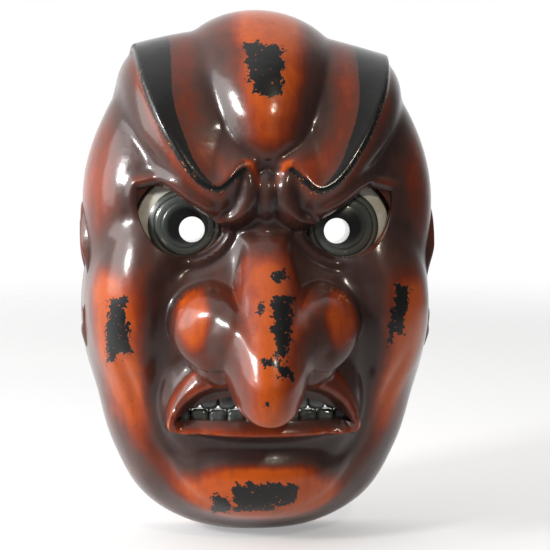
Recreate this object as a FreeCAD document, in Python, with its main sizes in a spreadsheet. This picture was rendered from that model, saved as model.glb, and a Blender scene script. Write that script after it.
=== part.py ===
import FreeCAD, Part
import math
import os

V = FreeCAD.Vector

# Driving dimensions, millimetres and degrees.  The mask stands upright: +Z up, the
# face looks along -Y, and the flat back rim lies in the plane Y = 0.
DIMENSIONS = {
    "rim_top": 99.8, "rim_temple": 97.2, "rim_eye": 72.0, "rim_side": 70.5, "rim_corner": 79.5,
    "rim_jaw": 90.4, "rim_under": 100.8, "rim_low": 105.0, "rim_chin": 105.2,
    "face_depth": 43.0, "side_depth": 12.0, "wall": 7.0, "fullness": 2.5,
    "dome_rise": 10.5, "brow_rise": 9.0, "brow_step": 2.4, "socket_depth": 8.0,
    "cheek_rise": 9.0, "muzzle_rise": 8.5, "chin_rise": 9.5, "lip_rise": 4.5,
    "nose_reach": 35.0, "nose_hang": 22.5, "nose_half": 16.2, "nose_hollow": 14.0,
    "wing_reach": 16.5, "wing_out": 21.0, "wing_up": -14.5,
    "eye_out": 31.0, "eye_up": 22.2, "eye_front": 45.5,
    "ball_curve": 32.0, "ball_rim": 20.5, "ball_deep": 9.8, "seat_deep": 20.0,
    "iris_rim": 14.2, "iris_curve": 24.0, "iris_proud": 1.8,
    "pupil_rim": 5.0, "pupil_in": 2.7, "pupil_down": 1.5,
    "lid_out": 32.0, "lid_up": 23.0, "lid_half_wide": 17.5, "lid_half_tall": 12.2,
    "lid_turn": 14.0, "lid_slope": 35.0, "lid_over": 9.2, "lid_front": 70.0,
    "mouth_half": 34.5, "mouth_low": -54.0, "mouth_rise": 11.5, "mouth_front": 64.0,
    "mouth_deep": 30.0, "bite_up": -49.4, "bite_gap": 0.8,
    "tooth_front": 53.0, "tooth_thick": 4.5, "tooth_bend": 92.0,
    "tooth_wide": 7.0, "groove_rim": 1.6,
    "ear_out": 66.0, "ear_back": -16.0, "ear_up": 1.0, "ear_half_wide": 8.3,
    "ear_half_deep": 14.0, "ear_half_tall": 38.0,
    "bowl_out": 77.0, "bowl_half_wide": 5.0, "bowl_half_deep": 6.5, "bowl_half_tall": 20.0,
    "bowl_up": 6.0,
    "cord_rim": 2.0, "cord_back": -14.0, "cord_up": 42.0, "cord_deep": 30.0, "cord_start": 50.0,
}

doc = FreeCAD.newDocument("noh_mask")
sheet = doc.addObject("Spreadsheet::Sheet", "Dimensions")
for row, (name, value) in enumerate(DIMENSIONS.items(), start=1):
    sheet.set(f"A{row}", name)
    sheet.set(f"B{row}", str(value))
    sheet.setAlias(f"B{row}", name)
doc.recompute()


def dim(name):
    return float(sheet.get(name))


def bind(thing, **sizes):
    for prop, text in sizes.items():
        thing.setExpression(prop.replace("__", "."), text)


# ---------------------------------------------------------------- smooth arithmetic

def clip(x, low, high):
    return min(max(x, low), high)


def join(a, b, k):
    """The larger of two heights, rounded where they meet over about k mm."""
    t = clip(0.5 + 0.5*(a - b)/k, 0, 1)
    return b + (a - b)*t + k*t*(1 - t)


def ease(start, end, x):
    t = clip((x - start)/(end - start), 0, 1)
    return t*t*(3 - 2*t)


def bell(x):
    return math.exp(-x*x)


def table(x, places, values):
    """Straight-line reading of a short table."""
    if x <= places[0]:
        return values[0]
    for i in range(1, len(places)):
        if x <= places[i]:
            share = (x - places[i-1])/(places[i] - places[i-1])
            return values[i-1] + share*(values[i] - values[i-1])
    return values[-1]


def mound(x, z, cx, cz, rx, rz, rise):
    """An elliptical hill, negative outside its foot."""
    return max(rise*(1 - ((x - cx)/rx)**2 - ((z - cz)/rz)**2), -25.0)


def fair(points, steps=5):
    """Catmull-Rom curve through the points, as a list of close points."""
    first, last = points[0], points[-1]
    ends = [(2*first[0] - points[1][0], 2*first[1] - points[1][1])]
    tail = [(2*last[0] - points[-2][0], 2*last[1] - points[-2][1])]
    p = ends + list(points) + tail
    out = []
    for i in range(1, len(p) - 2):
        for j in range(steps):
            t = j/steps
            out.append(tuple(0.5*(2*p[i][k] + (p[i+1][k] - p[i-1][k])*t
                             + (2*p[i-1][k] - 5*p[i][k] + 4*p[i+1][k] - p[i+2][k])*t*t
                             + (3*p[i][k] - p[i-1][k] - 3*p[i+1][k] + p[i+2][k])*t**3)
                             for k in (0, 1)))
    return out + [last]


def along(curve, x, z):
    """Distance to a curve, positive on its left, and the share of the way along it."""
    best, side, share = 1e9, 1.0, 0.0
    for i in range(len(curve) - 1):
        (ax, az), (bx, bz) = curve[i], curve[i+1]
        dx, dz = bx - ax, bz - az
        t = clip(((x - ax)*dx + (z - az)*dz)/(dx*dx + dz*dz), 0, 1)
        ex, ez = x - ax - t*dx, z - az - t*dz
        gap = ex*ex + ez*ez
        if gap < best:
            best = gap
            side = 1.0 if dx*(z - az) - dz*(x - ax) > 0 else -1.0
            share = (i + t)/(len(curve) - 1)
    return math.sqrt(best)*side, share


# ---------------------------------------------------------------- the carved front

CREST = fair([(58, 108), (52.5, 84), (43.5, 59), (31.5, 40), (25.5, 34.8), (19.8, 33.2),
              (15, 35.8), (7.6, 43.5), (0, 47.2)])
FOLD = fair([(33, 6), (44.5, -20), (50, -56), (47, -71), (38, -79)])
LIP_EDGE = fair([(38, -68.5), (42, -64), (42, -54), (38, -46), (28, -38.3), (14, -33)])
LOWER_LIP = fair([(41, -63), (38, -66.3), (24, -67.6), (0, -68.4)])


def brow(x, z):
    """Forehead dome, brow panels rising to a crest, and the roll under the crest."""
    gap, share = along(CREST, x, z)
    crest = dim("brow_rise")*table(share, [0, .3, .62, .85, 1], [.85, .95, 1.0, .78, .5])
    half = 31.0*math.sqrt(clip((z - 37)/62, 0.01, 2))
    rise = dim("dome_rise")*table(z, [38, 47, 65, 100], [0.05, .65, 1.0, .85])
    dome = rise*clip(1 - (x/half)**2, -1.6, 1)
    if gap < 0:
        return join(dome, crest*math.exp(gap/15), 1.5)
    s = clip(gap/table(share, [0, .5, .75, 1], [17, 14, 9.5, 5]), 0, 2)
    step = dim("brow_step")*ease(0, 3, gap)*table(share, [0, .75, .9], [1, 1, 0])
    return join(dome - 3*gap, crest*(1 - 1.05*s*s) - step*(1 - 0.3*s), 1.5)


def relief(x, z):
    """Height of the carving above the plain face at a place seen from in front."""
    x = abs(x)
    h = -dim("socket_depth")*math.exp(-(((x - 32)/26)**2 + ((z - 16)/20)**2)**1.5)
    h = join(h, brow(x, z), 2.5)
    h = join(h, mound(x, z, 0, 31, 4.6, 16, 6.0), 1.5)
    h = join(h, mound(x, z, 57, -15, 21, 38, dim("cheek_rise")), 3.0)
    h = join(h, mound(x, z, 68, 30, 12, 26, 2.5), 3.0)
    h = join(h, mound(x, z, 0, -54, 46, 25, dim("muzzle_rise")), 3.0)
    gap, share = along(FOLD, x, z)
    h -= table(share, [0, .15, .8, 1], [0, 3, 3, 0])*bell(gap/5)
    h -= 3.0*bell((z + 75 - (x/28)**2*2.5)/5.5)*ease(42, 30, x)
    h = join(h, mound(x, z, 0, -90, 36, 14.5, dim("chin_rise")), 3.0)
    gap, share = along(LIP_EDGE, x, z)
    h += 0.5*dim("lip_rise")*bell(max(gap - 4, 0)/4)*ease(-2, 3, gap)*ease(-71, -68, z)
    gap, share = along(LOWER_LIP, x, z)
    return h + dim("lip_rise")*bell(gap/3.8)*ease(45, 39, x)


def nose(x, z):
    """Reach forward and hang downward of the nose and its wings beyond the carving."""
    up = [-38, -36, -34.5, -32.5, -30, -27, -23, -18, -11, -4, 3, 10, 19]
    reach = [0, .26, .43, .61, .79, .91, .99, 1, .89, .73, .53, .3, .02]
    hang = [0, .31, .54, .76, .93, 1, .94, .81, .63, .48, .33, .19, 0]
    half = [.72, .79, .85, .92, .97, 1, 1, .99, .94, .87, .78, .66, .47]
    q = abs(x)/(dim("nose_half")*table(z, up, half))
    swell = math.sqrt(clip(1 - q**2.2, 0, 1))
    ridge = dim("nose_reach")*table(z, up, reach)*swell - 10*clip(q - 1, 0, 2)
    ridge -= 6*clip(-38 - z, 0, 2) + 4*clip(z - 19, 0, 3)
    drop = dim("nose_hang")*table(z, up, hang)*swell
    u, v = abs(x) - dim("wing_out"), z - dim("wing_up")
    c, s = math.cos(math.radians(24)), math.sin(math.radians(24))
    q = math.hypot((u*c - v*s)/14, (u*s + v*c)/15)
    swell = math.sqrt(clip(1 - q**2.2, 0, 1))
    wing = dim("wing_reach")*swell - 12*clip(q - 1, 0, 2)
    return join(ridge, wing, 2.5), join(drop, 0.36*dim("wing_reach")*swell, 2.5)


def reading(x, places, values):
    """Smooth reading of a short table, level at both ends."""
    last = len(places) - 1
    slopes = [0.0] + [(values[i+1] - values[i-1])/(places[i+1] - places[i-1])
                      for i in range(1, last)] + [0.0]
    i = min(max(j for j in range(last + 1) if x >= places[j] or j == 0), last - 1)
    h = places[i+1] - places[i]
    t = (x - places[i])/h
    return ((2*t**3 - 3*t*t + 1)*values[i] + (t**3 - 2*t*t + t)*h*slopes[i]
            + (3*t*t - 2*t**3)*values[i+1] + (t**3 - t*t)*h*slopes[i+1])


def rim_radius(angle):
    """Radius of the mask's outline at an angle from +X, the same on both sides."""
    names = ["rim_chin", "rim_low", "rim_under", "rim_jaw", "rim_corner", "rim_side",
             "rim_eye", "rim_temple", "rim_top"]
    degrees = math.degrees(math.asin(clip(math.sin(angle), -1, 1)))
    return reading(degrees, [-90, -76, -63, -50, -35, -10, 15, 60, 90], [dim(n) for n in names])


def plain(tilt, angle, inset):
    """Plain face at a tilt away from straight ahead: a squared-off half egg."""
    n = dim("fullness")
    s, c = math.sin(tilt), math.cos(tilt)
    r = (abs(c)**n + abs(s)**n)**(-1/n)
    radius = rim_radius(angle) - inset
    return V(radius*r*s*math.cos(angle), -(dim("face_depth") - inset)*r*c - dim("side_depth"),
             radius*r*s*math.sin(angle))


def place(p, q, inset):
    """Plain-face point, its outward normal and its share of the way to the rim."""
    a, b = p*math.sqrt(1 - q*q/2), q*math.sqrt(1 - p*p/2)
    share, angle = math.hypot(a, b), math.atan2(b, a)
    n = dim("fullness")
    back = dim("side_depth")/(dim("face_depth") - inset)
    tilt = share*math.atan2((1 - back**n)**(1/n), -back)
    point = plain(tilt, angle, inset)
    if share < 0.01:
        return point, V(0, -1, 0), share
    e = 0.002
    across = plain(tilt + e, angle, inset) - plain(tilt - e, angle, inset)
    around = plain(tilt, angle + e, inset) - plain(tilt, angle - e, inset)
    return point, across.cross(around).normalize(), share


def seen(point):
    """Where a point shows from 640 mm in front of the face and 6 degrees above it."""
    near = 638/(650 + point.y)
    return point.x*near, (point.z + 0.105*(point.y + 12))*near


def soften(field, rounds):
    """Averages a grid of numbers with its neighbours, edges held."""
    for _ in range(rounds):
        new = [list(column) for column in field]
        for i in range(1, len(field) - 1):
            for j in range(1, len(field[0]) - 1):
                new[i][j] = (2*field[i][j] + field[i-1][j] + field[i+1][j]
                             + field[i][j-1] + field[i][j+1])/6
        field = new
    return field


def carving(cells, rounds):
    """Height of the carving over a grid, softened by so many rounds."""
    field = []
    for column in cells:
        line = []
        for p, q in column:
            point, normal, share = place(p, q, 0)
            fade = ease(1.0, 0.88, share)
            line.append(relief(*seen(point + normal*6.5*fade))*fade)
        field.append(line)
    return soften(field, rounds)


def grid(columns, rows):
    return [[(2*i/(columns - 1) - 1, 2*j/(rows - 1) - 1) for j in range(rows)]
            for i in range(columns)]


def spread(cells, rounds):
    """Slides grid places towards the nose, whose sides are steep and need more of them."""
    def probe(p, q):
        point, _, _ = place(p, q, 0)
        reach, hang = nose(point.x, point.z)
        return V(point.x, point.y - max(reach, 0), point.z - hang*ease(0, 3, reach))

    for _ in range(rounds):
        points = [[probe(*c) for c in column] for column in cells]
        moved = [list(column) for column in cells]
        for i in range(1, len(cells) - 1):
            for j in range(1, len(cells[0]) - 1):
                ring = [(i-1, j), (i+1, j), (i, j-1), (i, j+1)]
                weights = [(points[a][b] - points[i][j]).Length for a, b in ring]
                total = sum(weights)
                moved[i][j] = tuple(0.4*cells[i][j][k] + 0.6*sum(
                    w*cells[a][b][k] for w, (a, b) in zip(weights, ring))/total for k in (0, 1))
        cells = moved
    return cells


def front_points():
    """The carved face: the carving stands along the normal, the nose reaches straight out."""
    cells = spread(grid(57, 71), 20)
    points = []
    for column, heights in zip(cells, carving(cells, 1)):
        line = []
        for cell, height in zip(column, heights):
            point, normal, _ = place(*cell, 0)
            forward, hang = nose(point.x, point.z)
            reach = join(height, forward, 2.5) - height
            point = point + normal*height
            line.append(V(point.x, point.y - reach, point.z - hang*ease(0, 3, reach)))
        points.append(line)
    return points


def hollow_points():
    """Inside of the mask: the plain face set in by the wall, following the carving softly."""
    cells = grid(31, 39)
    points = []
    for column, heights in zip(cells, carving(cells, 4)):
        line = []
        for cell, height in zip(column, heights):
            point, normal, share = place(*cell, dim("wall"))
            follow = (0.45*max(height, 0) + 1.6*min(height, 0))*ease(1.0, 0.88, share)
            point = point + normal*follow
            reach = dim("nose_hollow")*max(1 - (point.x/10)**2 - ((point.z + 14)/26)**2, 0)**1.5
            line.append(V(point.x, point.y - reach, point.z - 0.3*reach))
        points.append(line)
    return points


def skin(points):
    surface = Part.BSplineSurface()
    surface.interpolate(points)
    return surface.toShape()


def rim_wire(face):
    return Part.Wire(Part.__sortEdges__(face.Edges))


def closed(faces):
    solid = Part.Solid(Part.Shell(faces))
    if solid.Volume < 0:
        solid.reverse()
    return solid


def shell_blank(front):
    """The carved front and the hollow joined by a flat back rim."""
    hollow = skin(hollow_points())
    rim = Part.makeFace([rim_wire(front), rim_wire(hollow)], "Part::FaceMakerBullseye")
    return closed([front, hollow, rim])


def whole_form(front):
    """The carved front filled to a flat back, for trimming pieces to its skin."""
    return closed([front, Part.Face(rim_wire(front))])


# ---------------------------------------------------------------- prisms

def prism(edges, start, depth):
    """A slab along Y with the given outline, from the front back."""
    face = Part.Face(Part.Wire(edges))
    face.translate(V(0, -start, 0))
    return face.extrude(V(0, depth, 0))


def lid_opening(side):
    """Between the lids: an ellipse cut off above by the slanting upper lid."""
    points = []
    slope, turn = math.radians(dim("lid_slope")), math.radians(dim("lid_turn"))
    for k in range(28):
        t = 2*math.pi*k/28
        egg = (abs(math.cos(t - turn)/dim("lid_half_wide"))**2.5
               + abs(math.sin(t - turn)/dim("lid_half_tall"))**2.5)**-0.4
        rising = math.sin(t - slope)
        line = dim("lid_over")*math.cos(slope)/rising if rising > 0.05 else 99.0
        r = -join(-egg, -line, 1.5)
        points.append(V(side*(dim("lid_out") + r*math.cos(t)), 0, dim("lid_up") + r*math.sin(t)))
    curve = Part.BSplineCurve()
    curve.interpolate(points, PeriodicFlag=True)
    return prism([curve.toShape()], dim("lid_front"), dim("lid_front") - dim("eye_front")
                 + dim("ball_deep"))


def mouth_slot():
    """Flat below, arched above, pointed at the corners."""
    half, low = dim("mouth_half"), dim("mouth_low")
    lines = []
    for rise in (dim("mouth_rise"), -0.6):
        curve = Part.BSplineCurve()
        curve.interpolate([V(half*math.sin(a), 0, low + 1 + rise*math.cos(a)**1.5)
                           for a in [math.pi*(k/12 - 0.5) for k in range(13)]])
        lines.append(curve.toShape())
    return prism(Part.__sortEdges__(lines), dim("mouth_front"), dim("mouth_deep"))


def tooth_row(slot, upper):
    """Teeth in a bent strip filling the slot on one side of the bite."""
    centre, bend = dim("tooth_bend") - dim("tooth_front"), dim("tooth_bend")
    strip = Part.makeCylinder(bend, 30, V(0, centre, dim("mouth_low") - 5))
    strip = strip.cut(Part.makeCylinder(bend - dim("tooth_thick"), 30, V(0, centre, dim("mouth_low") - 5)))
    gap = dim("bite_gap")/2
    start = dim("bite_up") + gap if upper else dim("bite_up") - gap - 20
    strip = strip.common(Part.makeBox(90, 60, 20, V(-45, -90, start)))
    row = strip.common(slot)
    for k in range(-4, 6):
        angle = math.asin((k - 0.5)*dim("tooth_wide")/bend)
        spot = V(bend*math.sin(angle), centre - bend*math.cos(angle), dim("mouth_low") - 5)
        row = row.cut(Part.makeCylinder(dim("groove_rim")/2, 30, spot))
    return row


def feature(name, shape, label=None):
    thing = doc.addObject("Part::Feature", name)
    thing.Label = label or name
    thing.Shape = shape
    thing.Placement = FreeCAD.Placement()
    return thing


# ---------------------------------------------------------------- bound primitives

def primitive(kind, name, sizes, x, y, z, along_y=False, along_x=0):
    thing = doc.addObject(f"Part::{kind}", name)
    if along_y:
        thing.Placement = FreeCAD.Placement(V(), FreeCAD.Rotation(V(1, 0, 0), -90))
    if along_x:
        thing.Placement = FreeCAD.Placement(V(), FreeCAD.Rotation(V(0, 1, 0), 90*along_x))
    for prop, text in sizes.items():
        thing.setExpression(prop, text)
    for axis, text in zip("xyz", (x, y, z)):
        thing.setExpression(f"Placement.Base.{axis}", text)
    return thing


def boolean(kind, name, *things):
    thing = doc.addObject(f"Part::{kind}", name)
    if kind == "Cut":
        thing.Base, thing.Tool = things
    else:
        thing.Shapes = list(things)
    thing.Label = name
    return thing


def eye(name, sign):
    """Ball plate and iris of one eye, and the tools that seat them in the mask."""
    d = "Dimensions."
    x, z = f"{sign}{d}eye_out", f"{d}eye_up"
    front = f"-{d}eye_front"
    globe = primitive("Sphere", f"{name}_globe", {"Radius": f"{d}ball_curve"},
                      x, f"{front} + {d}ball_curve", z)
    barrel = primitive("Cylinder", f"{name}_barrel",
                       {"Radius": f"{d}ball_rim", "Height": f"{d}ball_deep + {d}iris_proud"},
                       x, f"{front} - {d}iris_proud", z, along_y=True)
    ball = boolean("MultiCommon", f"{name}_ball_blank", globe, barrel)
    lens = primitive("Sphere", f"{name}_lens", {"Radius": f"{d}iris_curve"},
                     x, f"{front} - {d}iris_proud + {d}iris_curve", z)
    stem = primitive("Cylinder", f"{name}_stem",
                     {"Radius": f"{d}iris_rim", "Height": f"{d}ball_deep"},
                     x, f"{front} - {d}iris_proud", z, along_y=True)
    cap = boolean("Cut", f"{name}_cap", boolean("MultiCommon", f"{name}_dome", lens, stem), globe)
    pupil = primitive("Cylinder", f"{name}_pupil", {"Radius": f"{d}pupil_rim",
                      "Height": f"{d}seat_deep"}, f"{sign}({d}eye_out - {d}pupil_in)",
                      f"{front} - {d}iris_proud - 2", f"{z} - {d}pupil_down", along_y=True)
    seat = primitive("Cylinder", f"{name}_seat", {"Radius": f"{d}ball_rim",
                     "Height": f"{d}seat_deep"}, x, f"{front} + {d}ball_deep", z, along_y=True)
    boolean("Cut", f"{name}_eyeball", ball, pupil)
    boolean("Cut", f"{name}_iris", cap, pupil)
    return [ball, cap, pupil, seat]


def ear(name, sign, form):
    d = "Dimensions."
    lobe = primitive("Ellipsoid", f"{name}_lobe", {
        "Radius1": f"{d}ear_half_tall", "Radius2": f"{d}ear_half_wide",
        "Radius3": f"{d}ear_half_deep"}, f"{sign}{d}ear_out", f"{d}ear_back", f"{d}ear_up")
    bowl = primitive("Ellipsoid", f"{name}_bowl", {
        "Radius1": f"{d}bowl_half_tall", "Radius2": f"{d}bowl_half_wide",
        "Radius3": f"{d}bowl_half_deep"}, f"{sign}{d}bowl_out", f"{d}ear_back",
        f"{d}ear_up + {d}bowl_up")
    return boolean("Cut", f"{name}_ear", lobe, boolean("MultiFuse", f"{name}_ear_tools", form, bowl))


def cord_hole(name, sign):
    d = "Dimensions."
    turn = -1 if sign == "-" else 1
    return primitive("Cylinder", f"{name}_cord", {"Radius": f"{d}cord_rim", "Height": f"{d}cord_deep"},
                     f"{sign}{d}cord_start", f"{d}cord_back", f"{d}cord_up", along_x=turn)


SIDES = {"left": "", "right": "-"}
NODES = (["mask_shell"] + [f"{side}_{piece}" for piece in ("ear", "eyeball", "iris") for side in SIDES]
         + ["upper_teeth", "lower_teeth"])

front = skin(front_points())
blank, form = feature("shell_blank", shell_blank(front)), feature("whole_form", whole_form(front))
slot = mouth_slot()
tools = [feature("mouth_slot", slot)]
for side, sign in SIDES.items():
    tools += eye(side, sign) + [cord_hole(side, sign)]
    tools.append(feature(f"{side}_lids", lid_opening(-1 if sign else 1)))
    ear(side, sign, form)
boolean("Cut", "mask_shell", blank, boolean("MultiFuse", "shell_tools", *tools))
feature("upper_teeth", tooth_row(slot, True))
feature("lower_teeth", tooth_row(slot, False))
doc.recompute()

for thing in doc.Objects:
    if "Invalid" in thing.State or "Error" in thing.State:
        raise RuntimeError(f"{thing.Label} did not compute: {thing.State}")
    if hasattr(thing, "Shape") and (thing.Shape.isNull() or not thing.Shape.isValid()):
        raise RuntimeError(f"{thing.Label} has no valid shape")

os.makedirs("parts", exist_ok=True)
for node in NODES:
    shape = doc.getObject(node).Shape
    print(node, len(shape.Solids), round(shape.Volume), [round(v, 1) for v in (
        shape.BoundBox.XMin, shape.BoundBox.XMax, shape.BoundBox.YMin,
        shape.BoundBox.YMax, shape.BoundBox.ZMin, shape.BoundBox.ZMax)])
    shape.exportStep(f"parts/{node}.step")
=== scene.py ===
import math

import bmesh
import bpy
import numpy as np
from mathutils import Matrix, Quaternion, Vector


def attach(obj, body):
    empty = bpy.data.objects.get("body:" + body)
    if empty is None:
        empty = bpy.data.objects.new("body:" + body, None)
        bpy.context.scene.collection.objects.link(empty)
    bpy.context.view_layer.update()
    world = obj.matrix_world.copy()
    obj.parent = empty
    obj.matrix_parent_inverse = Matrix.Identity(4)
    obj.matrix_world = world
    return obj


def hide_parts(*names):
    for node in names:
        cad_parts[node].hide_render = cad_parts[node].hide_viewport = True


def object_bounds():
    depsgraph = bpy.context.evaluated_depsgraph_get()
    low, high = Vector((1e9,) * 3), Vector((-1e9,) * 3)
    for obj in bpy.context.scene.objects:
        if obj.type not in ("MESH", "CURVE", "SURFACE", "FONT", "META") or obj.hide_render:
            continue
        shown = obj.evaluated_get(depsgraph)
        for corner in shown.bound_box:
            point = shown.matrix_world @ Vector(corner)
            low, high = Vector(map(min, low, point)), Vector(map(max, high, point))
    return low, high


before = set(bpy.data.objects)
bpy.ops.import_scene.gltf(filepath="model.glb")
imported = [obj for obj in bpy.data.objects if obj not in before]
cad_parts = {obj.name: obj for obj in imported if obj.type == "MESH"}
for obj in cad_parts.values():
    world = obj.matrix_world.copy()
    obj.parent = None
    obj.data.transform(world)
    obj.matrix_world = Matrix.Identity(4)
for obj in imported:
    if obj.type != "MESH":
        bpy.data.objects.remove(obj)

bl_info = {
    "name": "Noh Mask",
    "version": (1, 0, 0),
    "blender": (4, 5, 0),
    "location": "3D View > Sidebar > Noh Mask",
    "description": "Builds a carved and lacquered theatre mask around its packed frame",
    "category": "Add Mesh",
}

CAD_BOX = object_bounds()
MM = 0.001


# ------------------------------------------------------------------ settings

def size(name, text, default):
    return bpy.props.FloatProperty(name=name, description=text, default=default*MM,
                                   unit="LENGTH", precision=4)


def level(name, text, default, **more):
    return bpy.props.FloatProperty(name=name, description=text, default=default, **more)


def tint(name, text, hexed):
    return bpy.props.StringProperty(name=name, description=text, default=hexed)


class CarvingSettings(bpy.types.PropertyGroup):
    wall: size("Wall", "Thickness of the carved wood", 7)
    dome: size("Forehead dome", "Rise of the dome between the brows", 9.4)
    brow: size("Brow crest", "Rise of the hooked brow crest", 9.2)
    step: size("Brow step", "Depth of the cut under the crest", 2.4)
    socket: size("Eye socket", "Depth of the hollow round the eyes", 8)
    cheek: size("Cheek", "Rise of the cheeks", 9)
    muzzle: size("Muzzle", "Rise of the mouth region", 8.5)
    chin: size("Chin", "Rise of the chin", 9.5)
    nose: size("Nose reach", "How far the nose stands out", 35)
    hang: size("Nose hang", "How far the nose tip hangs below its root", 22)
    wing: size("Nose wing", "How far the wings of the nose stand out", 16.5)


class LacquerSettings(bpy.types.PropertyGroup):
    vermilion: tint("Vermilion", "Bright lacquer on the high places, sRGB hex", "933508")
    russet: tint("Russet", "Vermilion dulled by handling, sRGB hex", "682813")
    umber: tint("Umber", "Brown-black lacquer left in the hollows, sRGB hex", "331F1C")
    black: tint("Black", "Black undercoat shown where the red is worn off, sRGB hex", "0B0A0A")
    maroon: tint("Maroon", "Thin red over the brown, sRGB hex", "4C2C24")
    bright: tint("Bright vermilion", "Where the red lies thickest, sRGB hex", "BE5006")
    ochre: tint("Ochre", "Flecks on the chipped brow edge, sRGB hex", "C9782E")
    white: tint("White", "White of the eyes, sRGB hex", "F2F0E6")
    ivory: tint("Ivory", "Yellowed white of the eyes, sRGB hex", "DEDAC6")
    tooth: tint("Teeth", "Grey-black of the teeth, sRGB hex", "6A706C")
    tooth_dark: tint("Teeth, dark", "Darker clouds on the teeth, sRGB hex", "3A403E")
    wood: tint("Bare wood", "Oiled cypress inside the mask, sRGB hex", "6B4A30")
    wood_dark: tint("Growth rings", "Darker rings of the cypress, sRGB hex", "4A3020")


class StudioSettings(bpy.types.PropertyGroup):
    azimuth: level("Azimuth", "Camera's turn round the mask", math.radians(-5.7), subtype="ANGLE")
    elevation: level("Elevation", "Camera's height above the mask", math.radians(5.4), subtype="ANGLE")
    roll: level("Roll", "Camera's roll", math.radians(0.9), subtype="ANGLE")
    distance: size("Distance", "Camera to the middle of the mask", 620)
    view_width: size("View width", "Width seen at the middle of the mask", 220.7)
    key: level("Key light", "Power of the soft box at upper left", 5.0, unit="POWER")
    window: level("Window light", "Power of the wide soft box on the left", 4.0, unit="POWER")
    top: level("Top light", "Power of the small warm lamp above the camera", 1.4, unit="POWER")
    sky: level("Room light", "Strength of the white room above and behind the mask", 1.0)
    front: level("Front light", "Strength of the room in front", 0.10)


# ------------------------------------------------------------------ smooth arithmetic

def join(a, b, k):
    """The larger of two heights, rounded over about k where they meet: the two are mixed
    by their difference over k, and k*t*(1-t) lifts the middle of the mix."""
    t = np.clip(0.5 + 0.5*(a - b)/k, 0, 1)
    return b + (a - b)*t + k*t*(1 - t)


def ease(start, end, x):
    """Smooth step from 0 at start to 1 at end: 3t^2 - 2t^3."""
    t = np.clip((x - start)/(end - start), 0, 1)
    return t*t*(3 - 2*t)


def bell(x):
    """Bell curve, e to the minus x squared."""
    return np.exp(-x*x)


def egg(x, z, cx, cz, rx, rz, turn=0.0):
    """Elliptical distance from (cx, cz): 0 there, 1 on the ellipse with radii rx, rz."""
    c, s = math.cos(math.radians(turn)), math.sin(math.radians(turn))
    return np.hypot(((x - cx)*c + (z - cz)*s)/rx, ((z - cz)*c - (x - cx)*s)/rz)


def mound(x, z, cx, cz, rx, rz, rise, turn=0.0):
    """A hill of paraboloid shape, rise times one minus the square of its egg distance."""
    return np.maximum(rise*(1 - egg(x, z, cx, cz, rx, rz, turn)**2), -25)


def fair(points, steps=12):
    """Catmull-Rom curve through the points, as close points."""
    p = np.array(points, float)
    p = np.vstack([2*p[0] - p[1], p, 2*p[-1] - p[-2]])
    t = np.linspace(0, 1, steps, endpoint=False)[:, None]
    spans = [0.5*(2*b + (c - a)*t + (2*a - 5*b + 4*c - d)*t**2 + (3*b - a - 3*c + d)*t**3)
             for a, b, c, d in zip(p, p[1:], p[2:], p[3:])]
    return np.vstack(spans + [p[-2:-1]])


def along(curve, x, z):
    """Distance to a curve, positive on its left, and the share of the way along it: the
    nearest of the curve's short straight spans is kept for every place at once."""
    best, side, share = np.full(x.shape, 1e9), np.ones(x.shape), np.zeros(x.shape)
    for i, (a, b) in enumerate(zip(curve, curve[1:])):
        d = b - a
        t = np.clip(((x - a[0])*d[0] + (z - a[1])*d[1])/(d@d), 0, 1)
        gap = (x - a[0] - t*d[0])**2 + (z - a[1] - t*d[1])**2
        near = gap < best
        best = np.where(near, gap, best)
        side = np.where(near, np.where(d[0]*(z - a[1]) > d[1]*(x - a[0]), 1.0, -1.0), side)
        share = np.where(near, (i + t)/(len(curve) - 1), share)
    return np.sqrt(best)*side, share


# ------------------------------------------------------------------ the plain face

RIM_DEGREES = [-90, -76, -63, -50, -35, -10, 15, 60, 90]
RIM_RADII = [105.2, 105.0, 100.8, 90.4, 79.5, 70.5, 72, 97.2, 99.8]
FACE_DEPTH, SIDE_DEPTH, FULLNESS = 43.0, 12.0, 2.5
NOSE_UP = [-38, -36, -34.5, -32.5, -30, -27, -23, -18, -11, -4, 3, 10, 19]
NOSE_REACH = [0, .26, .43, .61, .79, .91, .99, 1, .89, .73, .53, .3, .02]
NOSE_HANG = [0, .31, .54, .76, .93, 1, .94, .81, .63, .48, .33, .19, 0]
NOSE_HALF = [11, 12.6, 13.8, 14.9, 15.8, 16.4, 16.7, 16.7, 15.9, 14.2, 12.2, 9.9, 7.2]


def rim_radius(angle):
    """Outline radius at an angle from +X: a cubic Hermite curve through the rim table, level
    at crown and chin and the same on both sides."""
    a, r = np.array(RIM_DEGREES, float), np.array(RIM_RADII)
    slope = np.concatenate([[0], (r[2:] - r[:-2])/(a[2:] - a[:-2]), [0]])
    deg = np.degrees(np.arcsin(np.sin(angle)))
    i = np.clip(np.searchsorted(a, deg, side="right") - 1, 0, len(a) - 2)
    h = a[i+1] - a[i]
    t = (deg - a[i])/h
    return ((2*t**3 - 3*t**2 + 1)*r[i] + (t**3 - 2*t**2 + t)*h*slope[i]
            + (3*t**2 - 2*t**3)*r[i+1] + (t**3 - t**2)*h*slope[i+1])


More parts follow.
